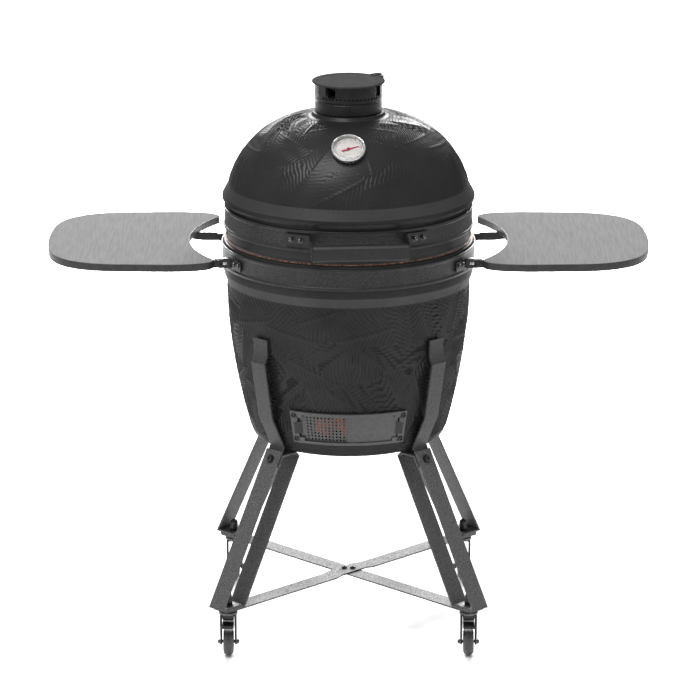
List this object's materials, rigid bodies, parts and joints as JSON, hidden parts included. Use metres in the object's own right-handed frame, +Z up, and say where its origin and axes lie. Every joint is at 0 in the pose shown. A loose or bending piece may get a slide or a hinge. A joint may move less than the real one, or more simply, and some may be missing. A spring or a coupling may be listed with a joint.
{
  "type": "kamado ceramic grill",
  "caption": "Egg-shaped ceramic charcoal grill with a hinged banded lid, damper top, sliding draught vent, fold-down side shelves and a splayed strap-steel stand on casters.",
  "frame": {"origin": "on the floor, under the middle of the bowl", "axes": "+Z up, the front (handle, vent, thermometer) faces -Y, +X to the right of someone facing it, along the opened shelves"},
  "size_m": [1.2518, 0.6772, 1.176],
  "materials": {
    "ceramic": "satin charcoal glaze over a shallow leaf relief",
    "band": "textured powder coat",
    "gasket": "pressed heat-proof felt",
    "fireclay": "unglazed fireclay",
    "cast_iron": "black enamelled casting",
    "grate_steel": "satin rods",
    "leg_steel": "speckled grey powder coat",
    "vent_steel": "smooth grey coat",
    "bright_metal": "polished",
    "dial_face": "matte",
    "needle": "matte red",
    "lens": "clear",
    "shelf_board": "grey stained grain with dark edges",
    "black_steel": "satin black",
    "tread": "grey"
  },
  "bodies": {
    "root": {"base_bowl": "ceramic", "base_band": "band", "base_gasket": "gasket", "firebox": "fireclay", "fire_ring": "fireclay", "charcoal_grate": "cast_iron", "vent_frame": "vent_steel", "hinge_lower_bracket": "black_steel", "hinge_pin": "bright_metal", "shelf_bracket_front_left": "black_steel", "shelf_bracket_front_right": "black_steel", "shelf_bracket_rear_left": "black_steel", "shelf_bracket_rear_right": "black_steel", "support_arm_front_left": "leg_steel", "support_arm_front_right": "leg_steel", "support_arm_rear_right": "leg_steel", "support_arm_rear_left": "leg_steel", "leg_outer_front_left": "leg_steel", "leg_outer_front_right": "leg_steel", "leg_outer_rear_right": "leg_steel", "leg_outer_rear_left": "leg_steel", "leg_inner_front_left": "leg_steel", "leg_inner_front_right": "leg_steel", "leg_inner_rear_right": "leg_steel", "leg_inner_rear_left": "leg_steel", "brace_upper": "leg_steel", "brace_lower": "leg_steel"},
    "lid": {"lid_dome": "ceramic", "lid_band": "band", "lid_gasket": "gasket", "thermometer_case": "bright_metal", "thermometer_dial": "dial_face", "thermometer_lens": "lens", "handle_bar": "band", "handle_bracket_left": "black_steel", "handle_bracket_right": "black_steel", "damper_base": "cast_iron", "hinge_upper_bracket": "black_steel"},
    "needle": {"thermometer_needle": "needle"},
    "damper_ring": {"damper_ring": "cast_iron"},
    "damper_cap": {"damper_cap": "cast_iron"},
    "cooking_grate": {"cooking_grate": "grate_steel"},
    "vent_screen": {"vent_screen": "vent_steel"},
    "vent_door": {"vent_door": "vent_steel"},
    "shelf_left": {"shelf_board_left": "shelf_board", "shelf_frame_left": "black_steel"},
    "shelf_right": {"shelf_board_right": "shelf_board", "shelf_frame_right": "black_steel"},
    "fork_front_left": {"caster_fork_front_left": "black_steel"},
    "fork_front_right": {"caster_fork_front_right": "black_steel"},
    "fork_rear_right": {"caster_fork_rear_right": "black_steel"},
    "fork_rear_left": {"caster_fork_rear_left": "black_steel"},
    "wheel_front_left": {"caster_wheel_front_left": "tread"},
    "wheel_front_right": {"caster_wheel_front_right": "tread"},
    "wheel_rear_right": {"caster_wheel_rear_right": "tread"},
    "wheel_rear_left": {"caster_wheel_rear_left": "tread"},
    "brake_front_left": {"caster_brake_front_left": "black_steel"},
    "brake_front_right": {"caster_brake_front_right": "black_steel"}
  },
  "joints": [
    {"name": "lid_hinge", "type": "hinge", "parent": "root", "child": "lid", "pos_m": [0, 0.32459, 0.857], "axis": [-1, 0, 0], "range_deg": [0, 78]},
    {"name": "needle_turn", "type": "hinge", "parent": "lid", "child": "needle", "pos_m": [0, -0.181, 1.064], "axis": [0, -0.6157, 0.788], "range_deg": [-65, 205]},
    {"name": "damper_turn", "type": "hinge", "parent": "lid", "child": "damper_ring", "pos_m": [0, 0, 1.156], "axis": [0, 0, 1], "range_deg": [-60, 60]},
    {"name": "damper_cap_hinge", "type": "hinge", "parent": "damper_ring", "child": "damper_cap", "pos_m": [0.06143, 0.05729, 1.172], "axis": [-0.682, 0.7314, 0], "range_deg": [0, 100]},
    {"name": "cooking_grate_lift", "type": "slide", "parent": "root", "child": "cooking_grate", "axis": [0, 0, 1], "range_m": [0, 0.15]},
    {"name": "vent_screen_slide", "type": "hinge", "parent": "root", "child": "vent_screen", "pos_m": [0, 0, 0.4835], "axis": [0, 0, 1], "range_deg": [0, 24]},
    {"name": "vent_door_slide", "type": "hinge", "parent": "root", "child": "vent_door", "pos_m": [0, 0, 0.4835], "axis": [0, 0, 1], "range_deg": [-24, 0]},
    {"name": "shelf_left_fold", "type": "hinge", "parent": "root", "child": "shelf_left", "pos_m": [-0.268, 0, 0.811], "axis": [0, -1, 0], "range_deg": [0, 90]},
    {"name": "shelf_right_fold", "type": "hinge", "parent": "root", "child": "shelf_right", "pos_m": [0.268, 0, 0.811], "axis": [0, 1, 0], "range_deg": [0, 90]},
    {"name": "swivel_front_left", "type": "hinge", "parent": "root", "child": "fork_front_left", "pos_m": [-0.25003, -0.25003, 0.1], "axis": [0, 0, 1], "continuous": true},
    {"name": "swivel_front_right", "type": "hinge", "parent": "root", "child": "fork_front_right", "pos_m": [0.25003, -0.25003, 0.1], "axis": [0, 0, 1], "continuous": true},
    {"name": "swivel_rear_right", "type": "hinge", "parent": "root", "child": "fork_rear_right", "pos_m": [0.25003, 0.25003, 0.1], "axis": [0, 0, 1], "continuous": true},
    {"name": "swivel_rear_left", "type": "hinge", "parent": "root", "child": "fork_rear_left", "pos_m": [-0.25003, 0.25003, 0.1], "axis": [0, 0, 1], "continuous": true},
    {"name": "wheel_spin_front_left", "type": "hinge", "parent": "fork_front_left", "child": "wheel_front_left", "pos_m": [-0.25003, -0.23803, 0.02942], "axis": [1, 0, 0], "continuous": true},
    {"name": "wheel_spin_front_right", "type": "hinge", "parent": "fork_front_right", "child": "wheel_front_right", "pos_m": [0.25003, -0.23803, 0.02942], "axis": [1, 0, 0], "continuous": true},
    {"name": "wheel_spin_rear_right", "type": "hinge", "parent": "fork_rear_right", "child": "wheel_rear_right", "pos_m": [0.25003, 0.26203, 0.02942], "axis": [1, 0, 0], "continuous": true},
    {"name": "wheel_spin_rear_left", "type": "hinge", "parent": "fork_rear_left", "child": "wheel_rear_left", "pos_m": [-0.25003, 0.26203, 0.02942], "axis": [1, 0, 0], "continuous": true},
    {"name": "brake_front_left", "type": "hinge", "parent": "fork_front_left", "child": "brake_front_left", "pos_m": [-0.25003, -0.25403, 0.074], "axis": [-1, 0, 0], "range_deg": [0, 20]},
    {"name": "brake_front_right", "type": "hinge", "parent": "fork_front_right", "child": "brake_front_right", "pos_m": [0.25003, -0.25403, 0.074], "axis": [-1, 0, 0], "range_deg": [0, 20]}
  ]
}
